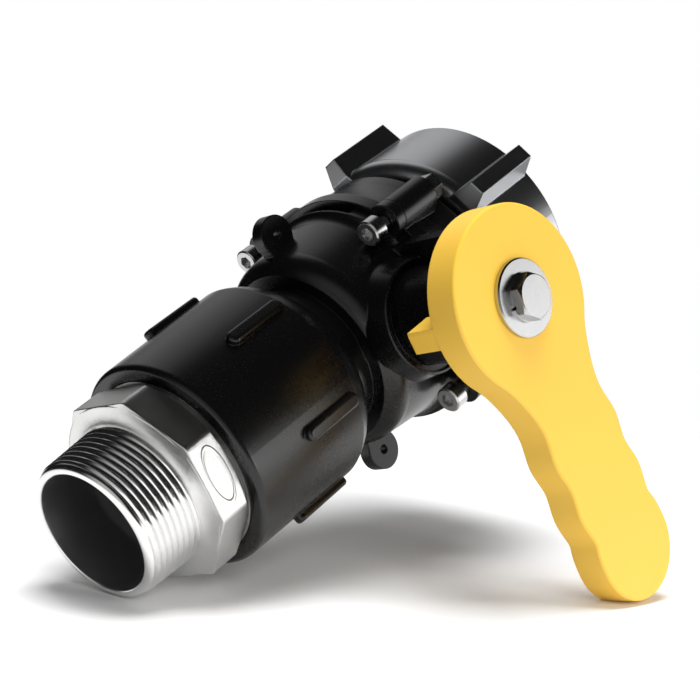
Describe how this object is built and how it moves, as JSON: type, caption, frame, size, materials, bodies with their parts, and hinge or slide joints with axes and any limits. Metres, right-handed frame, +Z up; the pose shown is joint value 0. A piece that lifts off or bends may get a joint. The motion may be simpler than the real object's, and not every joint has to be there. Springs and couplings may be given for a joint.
{
  "type": "ibc tank valve",
  "caption": "Quarter-turn ball valve for a bulk container, with a winged swivel nut on the inlet, a yellow lever and a stainless threaded pipe nipple on the outlet.",
  "frame": {"origin": "centre of the inlet gasket's outer face, inside the swivel nut, where the tank's outlet seats", "axes": "+X along the flow, from the tank to the outlet; +Y along the stem, towards the lever; +Z up, with the closed lever hanging towards -Z"},
  "size_m": [0.1923, 0.1259, 0.1505],
  "materials": {
    "black_plastic": "satin glass-filled black plastic",
    "grey_plastic": "satin grey plastic",
    "yellow_plastic": "smooth yellow plastic",
    "stainless_cast": "cast and turned stainless steel",
    "stainless_fastener": "plain stainless steel fasteners",
    "spring_steel": "plain spring steel",
    "ball_plastic": "polished dark plastic",
    "white_seat": "white low-friction plastic",
    "black_rubber": "black rubber"
  },
  "bodies": {
    "valve": {"outlet_body": "black_plastic", "inlet_body": "black_plastic", "outlet_seat": "white_seat", "inlet_seat": "white_seat", "outlet_seat_o_ring": "black_rubber", "inlet_seat_o_ring": "black_rubber", "body_o_ring": "black_rubber", "stem_washer": "white_seat", "body_screws": "stainless_fastener", "body_nuts": "stainless_fastener", "nut_retaining_ring": "spring_steel", "inlet_gasket": "black_rubber"},
    "lever": {"handle": "yellow_plastic", "handle_washer": "stainless_fastener", "handle_lock_washer": "stainless_fastener", "handle_bolt": "stainless_fastener", "stem": "black_plastic", "stem_o_rings": "black_rubber", "ball": "ball_plastic"},
    "swivel_nut": {"coupling_nut": "grey_plastic"},
    "gasket_slide": {"outlet_gasket": "black_rubber"},
    "adapter": {"adapter_nut": "black_plastic", "nipple": "stainless_cast", "nipple_o_ring": "black_rubber"}
  },
  "joints": [
    {"name": "lever_turn", "type": "hinge", "parent": "valve", "child": "lever", "pos_m": [0.057, 0, 0], "axis": [0, -1, 0], "range_deg": [0, 90]},
    {"name": "swivel_nut_turn", "type": "hinge", "parent": "valve", "child": "swivel_nut", "pos_m": [0, 0, 0], "axis": [1, 0, 0], "continuous": true},
    {"name": "union_travel", "type": "slide", "parent": "valve", "child": "gasket_slide", "axis": [1, 0, 0], "range_m": [0, 0.0181]},
    {"name": "adapter_turn", "type": "hinge", "parent": "gasket_slide", "child": "adapter", "pos_m": [0.057, 0, 0], "axis": [1, 0, 0], "range_deg": [0, 1080]}
  ],
  "couplings": [
    {"joint": "union_travel", "follows": "adapter_turn", "m_per_rad": 0.00095493}
  ]
}
